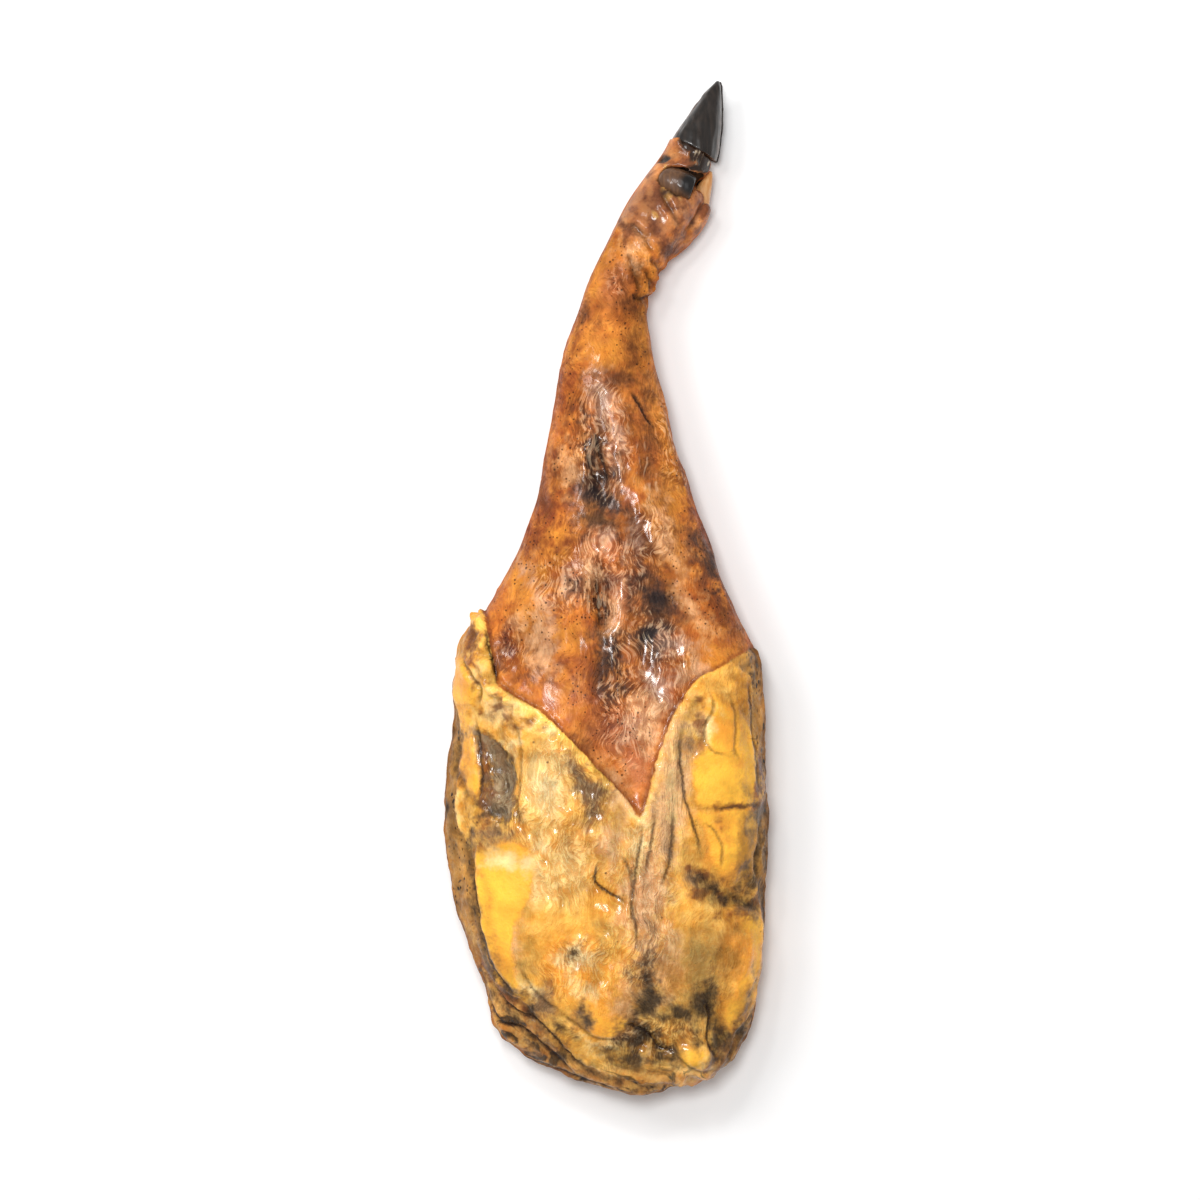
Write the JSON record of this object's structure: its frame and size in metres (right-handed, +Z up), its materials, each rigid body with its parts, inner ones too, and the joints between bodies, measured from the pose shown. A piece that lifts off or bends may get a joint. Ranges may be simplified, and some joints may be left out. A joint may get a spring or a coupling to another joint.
{
  "type": "cured pork shoulder",
  "caption": "Whole bone-in cured pork shoulder with its hoof, lying flat: a V-cut rind over yellow fat, a slim bent shank, horn claws and dewclaws.",
  "frame": {"origin": "on the floor, under the middle of the whole piece as it lies with its rind side up", "axes": "+Y from the cut end of the shoulder to the tip of the hoof, +X to the right seen from above, +Z up"},
  "size_m": [0.2082, 0.6482, 0.0958],
  "materials": {
    "rind_and_fat": "oily, cured",
    "black_horn": "satin horn",
    "brown_horn": "satin horn",
    "pale_horn": "satin horn"
  },
  "bodies": {
    "root": {"shoulder": "rind_and_fat", "claw_upper": "black_horn", "claw_lower": "black_horn", "dewclaw_dark": "brown_horn", "dewclaw_pale": "pale_horn"}
  },
  "joints": []
}
